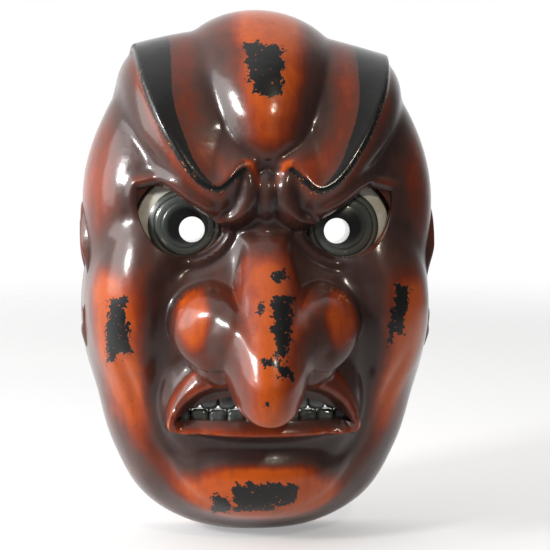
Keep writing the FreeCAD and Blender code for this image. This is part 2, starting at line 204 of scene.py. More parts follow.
def plain(p, q, inset=0.0):
    """Plain face: the square (p, q) is bent to a disc, whose radius is the share of the tilt
    from straight ahead to the rim, on a half egg squared off with power 2.5."""
    a, b = p*np.sqrt(1 - q*q/2), q*np.sqrt(1 - p*p/2)
    share, angle = np.hypot(a, b), np.arctan2(b, a)
    deep = FACE_DEPTH - inset
    back = SIDE_DEPTH/deep
    tilt = share*math.atan2((1 - back**FULLNESS)**(1/FULLNESS), -back)
    s, c = np.sin(tilt), np.cos(tilt)
    r = (np.abs(c)**FULLNESS + np.abs(s)**FULLNESS)**(-1/FULLNESS)
    radius = rim_radius(angle) - inset
    point = np.stack([radius*r*s*np.cos(angle), -deep*r*c - SIDE_DEPTH,
                      radius*r*s*np.sin(angle)], -1)
    return point, share


def normals(points):
    """Outward unit normals of a grid of points, from the cross product of its slopes."""
    n = np.cross(np.gradient(points, axis=0), np.gradient(points, axis=1))
    n /= np.linalg.norm(n, axis=-1, keepdims=True) + 1e-9
    return n if n[n.shape[0]//2, n.shape[1]//2, 1] < 0 else -n


def seen(points):
    """Across and up of a point as it shows from 640 mm in front and 6 degrees above."""
    near = 638/(650 + points[..., 1])
    return points[..., 0]*near, (points[..., 2] + 0.105*(points[..., 1] + 12))*near


# ------------------------------------------------------------------ the carving

CREST = fair([(51, 108), (51.4, 96), (50.8, 87), (49, 76.5), (45.8, 67), (42, 58.2), (36.8, 49),
              (31.2, 40.8), (26, 36), (20.6, 34.2), (16.2, 37.2), (12.6, 40.8), (9.0, 43.8),
              (5, 46.2), (0, 47)])
LEAF = fair([(9.0, 43.6), (6.4, 39), (5.9, 33.6), (7.3, 28), (10.6, 23.4), (15.5, 21)])
HOOK_CREASE = fair([(9.2, 43), (11.8, 38.4), (13, 32), (16.6, 25.4)])
BROW_FOLD = fair([(62, 65), (55, 55.5), (47.5, 47.5), (41, 40.5), (36, 36), (29.5, 31.8),
                  (22.5, 29.6), (16, 27)])
GLABELLA = fair([(13, 54.5), (8.5, 51), (4, 48), (0, 46.4)])
FOLD = fair([(33, 6), (42, -4), (44.5, -20), (46, -38), (48.5, -56), (45.5, -71), (37, -79), (28, -80)])
LID = fair([(54.6, 35.2), (55.2, 30), (54.2, 23), (51.4, 15.6), (46.6, 9.6), (41, 6.4), (35, 5.2),
            (28.6, 6.4), (22.2, 10), (18, 15), (17.8, 18), (22, 21.2), (28, 25.4), (34.4, 29.8), (40, 34.2),
            (47, 36.4), (54.6, 35.2)], 6)
LIP_EDGE = fair([(35, -69), (39.5, -66.5), (41.4, -61), (40, -54.5), (35.5, -46.5), (28, -40), (15, -34)])
LIP_CREST = fair([(38.4, -63.4), (38.0, -60.5), (35.2, -55.2), (31.2, -51.3), (26.5, -48),
                  (18.4, -45.4), (0, -43)])
LOWER_LIP = fair([(38.6, -61.8), (38.2, -64), (35.6, -65.9), (30, -66.6), (18, -66.9), (0, -67)])
JAW = fair([(61, -28), (57.5, -44), (55.5, -58), (51, -72), (43, -83), (33, -92), (18, -99), (0, -102)])


def brow(x, z, s):
    """Forehead dome (a parabola across), panels that rise as e^(gap/15) to the crest, and
    under the crest a cut and a roll that falls as the square of the distance."""
    gap, share = along(CREST, x, z)
    crest = s.brow/MM*np.interp(share, [0, .3, .5, .62, .75, .85, .93, 1],
                                [.82, .92, .95, 1.0, .96, .8, .5, .38])
    half = 31.0*np.sqrt(np.clip((z - 37)/62, 0.01, 2))
    rise = s.dome/MM*np.interp(z, [38, 42, 47, 55, 65, 80, 100], [.02, .2, .62, .88, 1, 1, .84])
    dome = rise*np.clip(1 - (x/half)**2, -1.6, 1)
    width = np.interp(share, [0, .25, .5, .62, .75, .86, .93, 1], [17, 16, 13.5, 12, 9.5, 8, 5, 4])
    t = np.clip(gap/width, 0, 2)
    step = s.step/MM*ease(-0.7, 2.6, gap)*np.interp(share, [0, .1, .78, .88], [.3, 1, 1, 0])
    roll = crest*(1 - 1.05*t*t) - step*(1 - 0.3*t)
    return join(np.where(gap < 0, dome, dome - 3*gap),
                np.where(gap < 0, crest*np.exp(np.minimum(gap, 0)/15) - step, roll), 1.0)


def hook(x, z):
    """The flat leaf that ends each brow: sloping 0.3 away from its sharp inner edge, steep
    on the nose side of it and beyond 8 mm."""
    gap, part = along(LEAF, x, z)
    rise = np.interp(part, [0, .1, .3, .7, 1], [5.4, 6.6, 7.2, 6.0, 2.5])
    return rise - 0.3*np.maximum(gap, 0) + 1.9*np.minimum(gap, 0) - 2.0*np.maximum(gap - 8, 0)


def relief(x, z, share, s):
    """Height of the carving: hills joined by rounded maxima, less the creases between."""
    x = np.abs(x)
    h = -s.socket/MM*bell(egg(x, z, 32, 17, 26, 20)**1.5)
    h = join(h, brow(x, z, s), 2.0)
    h = h - 1.3*bell(along(BROW_FOLD, x, z)[0]/2.0)*ease(60, 50, x)*ease(16, 22, x)
    lid, low = along(LID, x, z)[0], ease(34, 14, z)
    h = h + 2.6*bell((lid - 2.0)/2.0)*(0.45 + 0.55*low)
    h = h + low*(1.0*bell((lid - 7.0)/2.4)*ease(56, 46, x) - 1.2*bell((lid - 5.2)/1.4))
    h = h + 1.6*bell((lid - 3.0)/3.0)*(1 - low)
    h = join(h, 5.6*(1 - (x/5.2)**2 - ((z - 34)/12)**2), 1.0)
    h = join(h, hook(x, z), 0.5)
    h = h - 2.4*bell(along(HOOK_CREASE, x, z)[0]/1.4)
    h = h - 1.3*bell(along(GLABELLA, x, z)[0]/1.3)*ease(14, 8, x)
    h = join(h, mound(x, z, 57, -15, 21, 38, s.cheek/MM), 3.0)
    h = join(h, mound(x, z, 68, 30, 12, 26, 2.5), 3.0)
    h = join(h, mound(x, z, 0, -54, 46, 25, s.muzzle/MM), 2.5)
    gap, part = along(FOLD, x, z)
    h = h - np.interp(part, [0, .15, .5, .8, 1], [0, 3.0, 3.4, 3.0, 0])*bell(gap/4.5)
    h = h - 1.5*bell((z + 73.0 - (x/28)**2*2.5)/6.5)*ease(50, 22, x)
    h = join(h, mound(x, z, 0, -92, 40, 17, s.chin/MM), 4.0)
    gap, part = along(JAW, x, z)
    h = h - 1.5*bell(gap/2.6)*np.interp(part, [0, .15, .7, .9], [0, 1, 1, 0])
    edge, crest, lower = (along(c, x, z)[0] for c in (LIP_EDGE, LIP_CREST, LOWER_LIP))
    h = h + 3.0*bell(crest/np.where(crest > 0, 2.4, 3.4))
    h = h + 4.8*bell(lower/np.where(lower > 0, 1.9, 4.4))*ease(42, 38.5, x)
    h = h - 2.2*ease(0.3, 5.5, np.minimum(crest, -lower))
    h = h + 2.3*bell(np.maximum(edge - 3, 0)/3.0)*ease(-1.2, 2.0, edge)*ease(-71, -67, z)
    return h*ease(1.0, 0.88, share)


def nose(x, z, s):
    """Reach forward and hang downward of the nose: a ridge swelling as (1 - q^2.2)^(1/2)
    across its width, round wings, a web between ridge and wing that slopes 0.62 outwards, and a
    skirt under the wings, each negative outside itself."""
    q = np.abs(x)/np.interp(z, NOSE_UP, NOSE_HALF)
    swell = np.sqrt(np.clip(1 - q**2.2, 0, 1))
    ridge = s.nose/MM*np.interp(z, NOSE_UP, NOSE_REACH)*swell - 10*np.clip(q - 1, 0, 2)
    ridge = ridge - 6*np.clip(-38 - z, 0, 2) - 4*np.clip(z - 19, 0, 3)
    drop = s.hang/MM*np.interp(z, NOSE_UP, NOSE_HANG)*swell
    q = egg(np.abs(x), z, 21.5, -13.8, 15.5, 15.5, -24)
    swell = np.clip(1 - q**5, 0, 1)**0.42
    wing = s.wing/MM*swell*(1 - 0.02*(np.abs(x) - 21)) - 12*np.clip(q - 1, 0, 2)
    q = egg(np.abs(x), z, 16.5, -26, 15, 12.5, 38)
    skirt = 0.95*s.wing/MM*np.sqrt(np.clip(1 - q**3, 0, 1)) - 12*np.clip(q - 1, 0, 2)
    q = egg(np.abs(x), z, 14, -15, 12.5, 14)
    web = (24.5 - 0.62*np.maximum(np.abs(x) - 8, 0))*np.sqrt(np.clip(1 - q**4, 0, 1))
    web = web - 12*np.clip(q - 1, 0, 2)
    wing = join(wing, web, 5.0)
    return join(join(ridge, wing, 7.0), skirt, 4.0), join(drop, 0.36*s.wing/MM*swell, 4.0)


def front(p, q, s):
    """The carved face over the grid (p, q), in mm, with the height of its carving, the reach
    of its nose and the apparent places read from: the carving stands along the plain face's
    normal, the nose reaches straight out, and the crown tilts by 3.5 percent of x."""
    point, share = plain(p, q)
    normal = normals(point)
    place = seen(point + 6.5*normal*ease(1.0, 0.88, share)[..., None])
    height = relief(*place, share, s)
    forward, hang = nose(point[..., 0], point[..., 2], s)
    reach = join(height, forward, 2.2) - height
    carved = point + normal*height[..., None]
    carved[..., 1] -= reach
    carved[..., 2] -= hang*ease(0, 3, reach) + 0.035*point[..., 0]*ease(60, 100, point[..., 2])
    return carved, height, reach, place


def blurred(a, rounds=1):
    """Each value averaged with its four neighbours, so many times."""
    for _ in range(rounds):
        b = np.pad(a, [(1, 1), (1, 1)] + [(0, 0)]*(a.ndim - 2), mode="edge")
        a = (b[:-2, 1:-1] + b[2:, 1:-1] + b[1:-1, :-2] + b[1:-1, 2:] + 2*a)/6
    return a


def even_out(p, q, s, rounds):
    """Slides grid places towards their more distant neighbours, weighted by the distance,
    so that steep places such as the nose's sides get their share of the mesh; near the brow
    crests, the lids and the lips a place counts as further off, which draws the grid in."""
    for _ in range(rounds):
        points, _, _, (x, z) = front(p, q, s)
        x = np.abs(x)
        edges = [along(curve, x, z)[0] for curve in (CREST[::4], LID[::3], LIP_CREST[::4], LEAF[::4])]
        pull = 1 + 1.1*sum(bell(edge/2.5) for edge in edges)
        across = np.linalg.norm(np.diff(points, axis=0), axis=-1)*(pull[1:] + pull[:-1])
        upward = np.linalg.norm(np.diff(points, axis=1), axis=-1)*(pull[:, 1:] + pull[:, :-1])
        across, upward = blurred(across, 2), blurred(upward, 2)
        weights = across[:-1, 1:-1], across[1:, 1:-1], upward[1:-1, :-1], upward[1:-1, 1:]
        for a in (p, q):
            ring = a[:-2, 1:-1], a[2:, 1:-1], a[1:-1, :-2], a[1:-1, 2:]
            a[1:-1, 1:-1] = (0.4*a[1:-1, 1:-1]
                             + 0.6*sum(w*r for w, r in zip(weights, ring))/sum(weights))
    return p, q


def finer(a, columns, rows):
    """The same grid of values read at more places, by straight lines between them."""
    old_c, old_r = np.linspace(0, 1, a.shape[0]), np.linspace(0, 1, a.shape[1])
    new_c, new_r = np.linspace(0, 1, columns), np.linspace(0, 1, rows)
    i = np.clip(np.searchsorted(old_c, new_c, side="right") - 1, 0, len(old_c) - 2)
    t = ((new_c - old_c[i])/(old_c[i+1] - old_c[i]))[:, None]
    a = a[i]*(1 - t) + a[i+1]*t
    j = np.clip(np.searchsorted(old_r, new_r, side="right") - 1, 0, len(old_r) - 2)
    t = (new_r - old_r[j])/(old_r[j+1] - old_r[j])
    return a[:, j]*(1 - t) + a[:, j+1]*t


def face_grid(columns, rows, s):
    """Grid places evened out on a coarse grid, then read finely and evened a little more."""
    p, q = np.meshgrid(np.linspace(-1, 1, 91), np.linspace(-1, 1, 111), indexing="ij")
    p, q = even_out(p, q, s, 60)
    p, q = (blurred(finer(a, columns, rows), 3) for a in (p, q))
    p[0], p[-1], q[:, 0], q[:, -1] = -1, 1, -1, 1
    return even_out(p, q, s, 2)


def hollow(columns, rows, s):
    """Inside of the mask: the plain face set in by the wall, following 0.45 of the carving's
    rises and 1.6 of its hollows, with a pit behind the nose."""
    p, q = np.meshgrid(np.linspace(-1, 1, columns), np.linspace(-1, 1, rows), indexing="ij")
    height = blurred(front(p, q, s)[1], 30)
    point, share = plain(p, q, s.wall/MM)
    follow = (0.45*np.maximum(height, 0) + 1.6*np.minimum(height, 0))*ease(1.0, 0.88, share)
    point = point + normals(point)*follow[..., None]
    x, z = point[..., 0], point[..., 2]
    reach = 14.0*np.maximum(1 - (x/10)**2 - ((z + 14)/26)**2, 0)**1.5
    point[..., 1] -= reach
    point[..., 2] -= 0.3*reach
    return point


# ------------------------------------------------------------------ meshes

def between(i):
    """Four-cornered faces between the neighbours in a grid of point numbers."""
    return np.stack([i[:-1, :-1], i[1:, :-1], i[1:, 1:], i[:-1, 1:]], -1).reshape(-1, 4)


def quads(columns, rows, start=0):
    """Corner numbers of a grid's faces, turning from columns to rows."""
    return between(np.arange(columns*rows).reshape(columns, rows) + start)


def listed(*blocks):
    """The faces of several arrays, one face to a row, as one plain list."""
    return sum((block.tolist() for block in blocks), [])


def border(columns, rows):
    """Numbers of a grid's outer points, in order round it."""
    i = np.arange(columns*rows).reshape(columns, rows)
    return np.concatenate([i[:-1, 0], i[-1, :-1], i[:0:-1, -1], i[0, :0:-1]])


def put(name, points, faces, body="root", slot=None, replaces=(), crisp=35, materials=()):
    """A mesh piece from points in mm, riding on a body."""
    mesh = bpy.data.meshes.new(name)
    mesh.from_pydata((np.asarray(points, float)*MM).tolist(), [], faces)
    mesh.validate()
    mesh.polygons.foreach_set("use_smooth", np.ones(len(mesh.polygons), bool))
    mesh.set_sharp_from_angle(angle=math.radians(crisp))
    for material in materials:
        mesh.materials.append(material)
    piece = bpy.data.objects.new(name, mesh)
    bpy.context.scene.collection.objects.link(piece)
    if slot:
        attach(piece, body)
        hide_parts(*replaces)
    return piece


def outward(piece):
    """Merges doubles and turns every face outwards."""
    bm = bmesh.new()
    bm.from_mesh(piece.data)
    bmesh.ops.remove_doubles(bm, verts=bm.verts, dist=1e-6)
    bmesh.ops.recalc_face_normals(bm, faces=bm.faces)
    bm.to_mesh(piece.data)
    bm.free()


def slab(name, outline, y_front, y_back, material=0):
    """A closed prism along Y over an outline of (x, z) points, for cutting; the cut faces
    take its material number."""
    n = len(outline)
    ring = np.arange(n)
    points = np.vstack([np.column_stack([outline[:, 0], np.full(n, y), outline[:, 1]])
                        for y in (y_front, y_back)])
    sides = np.column_stack([ring, np.roll(ring, -1), np.roll(ring, -1) + n, ring + n])
    piece = put(name, points, listed(sides, ring[None], ring[None, ::-1] + n))
    piece.data.polygons.foreach_set("material_index", np.full(n + 2, material))
    outward(piece)
    return piece


def cut(piece, cutters):
    """Takes the cutters out of a piece for good and removes them."""
    for cutter in cutters:
        tool = piece.modifiers.new("cut", "BOOLEAN")
        tool.object, tool.operation, tool.solver = cutter, "DIFFERENCE", "EXACT"
        with bpy.context.temp_override(object=piece):
            bpy.ops.object.modifier_apply(modifier=tool.name)
        bpy.data.objects.remove(cutter)


# ------------------------------------------------------------------ eye, mouth and cord openings

EYE_OUT, EYE_UP, EYE_FRONT = 31.0, 22.2, -45.5
BALL_CURVE, BALL_RIM, BALL_BACK = 46.0, 20.5, -35.7
IRIS_RIM, IRIS_CURVE, IRIS_PROUD = 14.2, 30.0, 1.8
PUPIL_RIM, PUPIL_OUT, PUPIL_UP = 5.0, 28.3, 20.7
MOUTH_HALF, MOUTH_UP = 34.5, -53.2
TOOTH_WIDE, TOOTH_BOW = 7.0, 92.0
LID_OPENING = fair([(49.6, 36.6), (50, 32), (49.2, 26), (46.8, 19.6), (42.8, 14.4), (37.6, 11.2),
                    (32, 10.2), (25.6, 11.6), (20, 14.8), (16.6, 19.4), (16.8, 22), (20.4, 24.8),
                    (25.4, 28), (31, 31.8), (36.4, 35.6), (42.6, 37.6), (49.6, 36.6)], 6)


def lid_outline(side, within=99.0, share=1.0):
    """Opening between the lids of the eye on one side, shrunk to a share of its size and
    kept within a radius of the eye's axis."""
    out, up = LID_OPENING[:-1, 0] - EYE_OUT, LID_OPENING[:-1, 1] - EYE_UP
    keep = np.minimum(share, within/np.hypot(out, up))
    return np.column_stack([side*(EYE_OUT + out*keep), EYE_UP + up*keep])[::side]


def mouth_outline(count=40):
    """Slot between the lips: arched above as cos^1.5, nearly flat below."""
    a = np.linspace(-math.pi/2, math.pi/2, count)
    lift = np.abs(np.cos(a))**1.5
    upper = np.column_stack([MOUTH_HALF*np.sin(a), MOUTH_UP + 11.6*lift])
    lower = np.column_stack([MOUTH_HALF*np.sin(a), MOUTH_UP + 0.7*lift])
    return np.vstack([upper, lower[-2:0:-1]])


def disc(x, z, radius, count=64):
    """A circle of (x, z) points."""
    t = np.linspace(0, 2*math.pi, count, endpoint=False)
    return np.column_stack([x + radius*np.cos(t), z + radius*np.sin(t)])


def cord_cutter(name, side):
    """A rod along X for the cord hole beside the temple."""
    rod = slab(name, disc(-14.0, 42.0, 2.0, 32), 50, 85, 1)
    points = np.empty(3*len(rod.data.vertices))
    rod.data.vertices.foreach_get("co", points)
    points = points.reshape(-1, 3)
    rod.data.vertices.foreach_set("co", (points[:, [1, 0, 2]]*[side, 1, 1]).ravel())
    outward(rod)
    return rod


# ------------------------------------------------------------------ where the paint goes

STRIPE = fair([(39.5, 108), (39.3, 88), (39, 75.5), (37.6, 66.6), (34.8, 58), (30.6, 47), (25.8, 39.8),
               (20.8, 35.6), (16.4, 38.8), (12.6, 42.2), (9, 44.6)])
PANEL = fair([(34, 96), (34, 78), (31, 62), (25, 48), (17, 42)])
CHEEK_BAND = fair([(66, 8), (63, -12), (60, -32), (57.5, -52), (53, -68), (45, -81), (32, -93), (10, -103)])
TABLETS = [(-1.5, 86, 7.6, 8.2, 0), (0, 78.5, 6.2, 5, 0), (5, -0.8, 3.2, 2.4, 20), (5, -17.5, 4.6, 8.6, -6),
           (-4, -14.5, 1.6, 2.4, 0), (4.5, -30, 3.4, 5.5, 0), (-0.5, -37.8, 4.6, 1.6, -12),
           (5.2, -41.8, 2.8, 3.0, 10), (-2.2, -55.7, 0.5, 0.4, 0),
           (-60.5, -16, 3.4, 6, 0), (-60, -27, 4.4, 6.6, 0), (-61.5, -33, 2.4, 3.4, 0),
           (57.2, -10, 3.4, 5.4, 0), (55.6, -20, 3.6, 5, 0), (53.2, -25.5, 1.6, 4, -20),
           (1.5, -93, 13, 4.6, 0), (-16.5, -96.5, 3.2, 3.8, 0), (-3, -96.4, 8, 3.0, 0)]


def spot(x, z, cx, cz, rx, rz, turn=0.0, soft=0.45):
    """A soft spot, 1 inside an ellipse and easing to 0 around its edge."""
    return ease(1 + soft, 1 - soft, egg(x, z, cx, cz, rx, rz, turn))


def tablet(x, z, cx, cz, half_x, half_z, turn):
    """How deep a place lies inside a rectangle, in mm; negative outside."""
    c, s = math.cos(math.radians(turn)), math.sin(math.radians(turn))
    a = np.abs((x - cx)*c + (z - cz)*s) - half_x
    b = np.abs((z - cz)*c - (x - cx)*s) - half_z
    return -np.hypot(np.maximum(a, 0), np.maximum(b, 0)) - np.minimum(np.maximum(a, b), 0)


def packed(depth):
    """A depth of -8...8 mm as a value of 0...1 that a mesh attribute can carry."""
    return np.clip(0.5 + depth/16, 0, 1)


def paint(points, height, reach, place):
    """What the lacquerer laid where, as four values: how bright the vermilion is, less a painted
    shade over the right side, how deep a place lies in a worn patch, how deep in the black of
    the brow, and how chipped its edge is."""
    u, z = place
    x = np.abs(u)
    across, up = seen(points)
    crest, share = along(CREST, x, z)
    bulge = height - blurred(height, 60)
    warm = 0.26 + 0.10*np.clip(bulge, -2.2, 2.2)
    warm += 0.62*spot(u, z, 1.5, 88, 13, 34)*ease(44, 56, z) + 0.25*spot(u, z, 1, 101, 24, 9)
    warm += 0.42*bell(along(PANEL, x, z)[0]/6.0)*np.where(u > 0, 1.0, 0.55)
    gap, part = along(LEAF, x, z)
    warm += 0.75*bell((gap + 2.2)/1.6)*ease(0.45, 0.2, part)*ease(30, 36, z)*ease(50, 46, z)
    warm += 0.3*bell((crest - 3.0)/1.6)*ease(0.12, 0.2, share)*ease(0.85, 0.7, share)
    warm += 0.36*spot(x, z, 71, 40, 8, 24) + 0.3*spot(x, z, 53, 39, 6, 2.2, -8)
    warm += 0.2*spot(x, z, 58, -30, 13, 30) + bell(along(CHEEK_BAND, x, z)[0]/np.interp(
        z, [-80, -60], [4.5, 9.5]))*ease(9, -8, z)*np.interp(z, [-85, -62], [0.4, 0.72])
    lid = along(LID, x, z)[0]
    warm -= 0.16*bell(np.maximum(lid, 0)/7)
    gap, part = along(FOLD, x, z)
    warm -= 0.42*bell((gap - 0.5)/5.5)*ease(0.02, 0.2, part)
    edge, lips, lower = (along(c, x, z)[0] for c in (LIP_EDGE, LIP_CREST, LOWER_LIP))
    band = ease(-0.5, 1.0, edge)*ease(0.5, -1.5, lips)*ease(-68, -66, z)
    warm += 0.04*band + 0.3*bell((edge - 0.8)/1.2)*ease(-70, -66, z) + 0.3*bell(lips/0.8)
    warm += 0.08*ease(1, 3, lips)*ease(1, -1, lower)
    warm += 0.38*bell((lower - 0.2)/1.5)*ease(42, 38, x) - 0.3*spot(x, z, 0, -74.5, 36, 5.5, 0, 0.7)
    warm += 0.95*spot(u, z, 0.5, -93, 30, 13.5)*ease(-78.5, -84, z)
    warm -= 0.24*spot(x, z, 0, 34, 14, 13)*ease(46, 40, z)
    nosed = ease(1.5, 5, reach)
    bridge = bell(across/11.5)*ease(13, 5, z)
    wing = spot(np.abs(across), up, 31, -18, 7.5, 16)*nosed
    warm = warm*(1 - nosed) + nosed*(0.34 + 0.66*bridge)
    # painted shade: the vermilion is dulled by 0.10 across the right side, away from the lamps on the left
    warm = np.maximum(warm, 0.9*wing) - 0.10*ease(10, 45, u)
    worn = np.max([tablet(across, up, *t) for t in TABLETS], axis=0)
    inner = along(STRIPE, x, z)[0]
    stripe = np.maximum(np.minimum(0.4 - crest, inner), 0.9 - np.abs(crest - 0.5))
    stripe = np.where(share > 0.86, -4, stripe)
    chip = bell((crest - 0.9)/1.0)*ease(0.15, 0.2, share)*ease(0.85, 0.75, share)
    return np.stack([np.clip(warm, 0, 1), packed(worn), packed(stripe), chip], -1)


def lay(mesh, name, values):
    """Stores per-point colour values on a mesh's face corners, where cutting keeps them."""
    corners = np.empty(len(mesh.loops), int)
    mesh.loops.foreach_get("vertex_index", corners)
    layer = mesh.attributes.new(name, "FLOAT_COLOR", "CORNER")
    layer.data.foreach_set("color", np.ascontiguousarray(values[corners], dtype=np.float32).ravel())


# ------------------------------------------------------------------ materials

def linear(hexed):
    """sRGB hex to linear colour."""
    parts = [int(hexed[i:i+2], 16)/255 for i in (0, 2, 4)]
    return tuple(c/12.92 if c <= 0.04045 else ((c + 0.055)/1.055)**2.4 for c in parts) + (1.0,)


def node(tree, kind, links=None, **settings):
    """Adds a node with its settings; links maps an input to a socket or a value."""
    made = tree.nodes.new(kind)
    for name, value in settings.items():
        setattr(made, name, value)
    for where, value in (links or {}).items():
        socket = made.inputs[where]
        if isinstance(value, bpy.types.NodeSocket):
            tree.links.new(value, socket)
        else:
            socket.default_value = value
    return made


def new_material(name, **sockets):
    """A material with one Principled shader, its constant sockets set."""
    material = bpy.data.materials.new(name)
    material.use_nodes = True
    shader = material.node_tree.nodes["Principled BSDF"]
    for where, value in sockets.items():
        shader.inputs[where.replace("_", " ")].default_value = value
    return material, material.node_tree, shader


def grain(tree, millimetres, detail=3.0, stretch=(1, 1, 1), rough=0.5):
    """Noise over the object whose pattern repeats about every so many millimetres."""
    where = node(tree, "ShaderNodeTexCoord").outputs["Object"]
    where = node(tree, "ShaderNodeVectorMath", {0: where, 1: stretch}, operation="MULTIPLY").outputs[0]
    return node(tree, "ShaderNodeTexNoise", {"Vector": where, "Scale": 1000/millimetres,
                                             "Detail": detail, "Roughness": rough}).outputs["Fac"]


def maths(tree, operation, a, b=0.0, c=0.0):
    """A sum done on sockets or values."""
    return node(tree, "ShaderNodeMath", {0: a, 1: b, 2: c}, operation=operation).outputs[0]


def swayed(tree, value, noise, much):
    """A value moved up and down by noise, at most by half as much."""
    return maths(tree, "MULTIPLY_ADD", maths(tree, "SUBTRACT", noise, 0.5), much, value)


def remap(tree, value, low, high, to_low=0.0, to_high=1.0):
    """Smoothly turns low...high into to_low...to_high."""
    return node(tree, "ShaderNodeMapRange", {0: value, 1: low, 2: high, 3: to_low, 4: to_high},
                interpolation_type="SMOOTHSTEP").outputs[0]


def mixed(tree, share, a, b):
    """Mixes two colours."""
    return node(tree, "ShaderNodeMix", {"Factor": share, 6: a, 7: b}, data_type="RGBA").outputs[2]


def ramp(tree, value, stops):
    """Colours set along 0...1, as (place, sRGB hex) pairs."""
    made = node(tree, "ShaderNodeValToRGB", {"Fac": value})
    while len(made.color_ramp.elements) < len(stops):
        made.color_ramp.elements.new(0.5)
    for element, (place, hexed) in zip(made.color_ramp.elements, stops):
        element.position, element.color = place, linear(hexed)
    return made.outputs["Color"]


def bumped(tree, shader, height, millimetres):
    """Feeds a height of so many millimetres to the shader's surface and clear coat."""
    bump = node(tree, "ShaderNodeBump", {"Height": height, "Distance": millimetres*MM, "Strength": 1.0})
    for where in ("Normal", "Coat Normal"):
        tree.links.new(bump.outputs["Normal"], shader.inputs[where])


def red_lacquer(s):
    """Brown and vermilion urushi brushed over a black ground and rubbed to a polish: the
    vermilion clouds over the high places, the black ground shows in ragged worn patches."""
    material, tree, shader = new_material("urushi lacquer brushed over carved cypress", Roughness=0.42,
                                          IOR=1.5, Specular_IOR_Level=0.2, Coat_Weight=0.85,
                                          Coat_Roughness=0.17, Coat_IOR=1.5)
    # four painted values: vermilion (with a painted shade over the right side), worn depth, black brow
    # depth, chipped edge
    layer = node(tree, "ShaderNodeAttribute", attribute_name="paint", attribute_type="GEOMETRY")
    split = node(tree, "ShaderNodeSeparateColor", {0: layer.outputs["Color"]})
    warm, worn, brow_black = split.outputs
    # cloudy change of the red over 16 mm and brush marks a few mm wide drawn up and down
    cloud, strokes = grain(tree, 16, 4), grain(tree, 3.2, 3, (1, 1, 0.22))
    warm = swayed(tree, swayed(tree, warm, cloud, 0.62), strokes, 0.34)
    colour = ramp(tree, warm, [(0.0, s.umber), (0.28, s.maroon), (0.52, s.russet), (0.76, s.vermilion),
                               (1.0, s.bright)])
    # smoky specks under a millimetre in the clear top coat
    specks = remap(tree, grain(tree, 0.9, 2), 0.66, 0.74)
    colour = mixed(tree, maths(tree, "MULTIPLY", specks, 0.5), colour, linear(s.umber))
    # ragged edges: the depth inside the patch is broken up by 4 mm and 1 mm noise
    ragged = swayed(tree, swayed(tree, worn, grain(tree, 4.2, 2), 0.42), grain(tree, 1.1, 3), 0.33)
    bare = remap(tree, ragged, 0.492, 0.512)
    # islands of vermilion under a millimetre left standing in the worn patches
    islands = remap(tree, grain(tree, 1.3, 3), 0.68, 0.70)
    bare = maths(tree, "MULTIPLY", bare, maths(tree, "SUBTRACT", 1.0, islands))
    line = remap(tree, swayed(tree, brow_black, grain(tree, 1.6, 2), 0.05), 0.49, 0.52)
    colour = mixed(tree, maths(tree, "MAXIMUM", bare, line), colour, linear(s.black))
    # vermilion and ochre flecks left on the chipped brow edge
    flecks = maths(tree, "MULTIPLY", layer.outputs["Alpha"], remap(tree, grain(tree, 1.3, 2), 0.62, 0.68))
    colour = mixed(tree, flecks, colour, linear(s.ochre))
    tree.links.new(colour, shader.inputs["Base Color"])
    # brushed waviness, and the worn patches a little lower than the red
    height = maths(tree, "MULTIPLY_ADD", grain(tree, 6.0, 2), 0.13, maths(tree, "MULTIPLY", strokes, 0.025))
    height = maths(tree, "MULTIPLY_ADD", grain(tree, 0.9, 2), 0.006, height)
    height = maths(tree, "MULTIPLY_ADD", bare, -0.07, height)
    bumped(tree, shader, height, 1.0)
    return material


def dark_lacquer(name, hexed, other, roughness=0.12, wave=0.06):
    """Glossy lacquer of one colour clouded with another, with a slight brushed waviness."""
    material, tree, shader = new_material(name, Roughness=roughness, IOR=1.5, Coat_Weight=1.0,
                                          Coat_Roughness=0.05, Coat_IOR=1.52)
    # clouds of 5 mm between the two colours
    colour = mixed(tree, remap(tree, grain(tree, 5, 4), 0.35, 0.7), linear(hexed), linear(other))
    tree.links.new(colour, shader.inputs["Base Color"])
    bumped(tree, shader, grain(tree, 3.0, 3), wave)
    return material


def from_axis(tree):
    """Distance of a place from the axis of its eye, in shares of the iris."""
    where = node(tree, "ShaderNodeTexCoord").outputs["Object"]
    split = node(tree, "ShaderNodeSeparateXYZ", {0: where})
    out = maths(tree, "SUBTRACT", maths(tree, "ABSOLUTE", split.outputs[0]), EYE_OUT*MM)
    up = maths(tree, "SUBTRACT", split.outputs[2], EYE_UP*MM)
    far = maths(tree, "SQRT", maths(tree, "MULTIPLY_ADD", out, out, maths(tree, "MULTIPLY", up, up)))
    return swayed(tree, maths(tree, "MULTIPLY", far, 1/(IRIS_RIM*MM)), grain(tree, 2.5, 3), 0.04)


def ball_lacquer(s):
    """White lacquer round the iris, clouded yellow, running into brown under the lids."""
    material, tree, shader = new_material("polished white lacquer", Roughness=0.2, IOR=1.5,
                                          Coat_Weight=1.0, Coat_Roughness=0.05)
    colour = mixed(tree, remap(tree, grain(tree, 5, 4), 0.35, 0.7), linear(s.white), linear(s.ivory))
    # white to 1.28 of the iris, brown from 1.34
    colour = mixed(tree, remap(tree, from_axis(tree), 1.28, 1.34), colour, linear(s.umber))
    tree.links.new(colour, shader.inputs["Base Color"])
    bumped(tree, shader, grain(tree, 3.0, 3), 0.03)
    return material


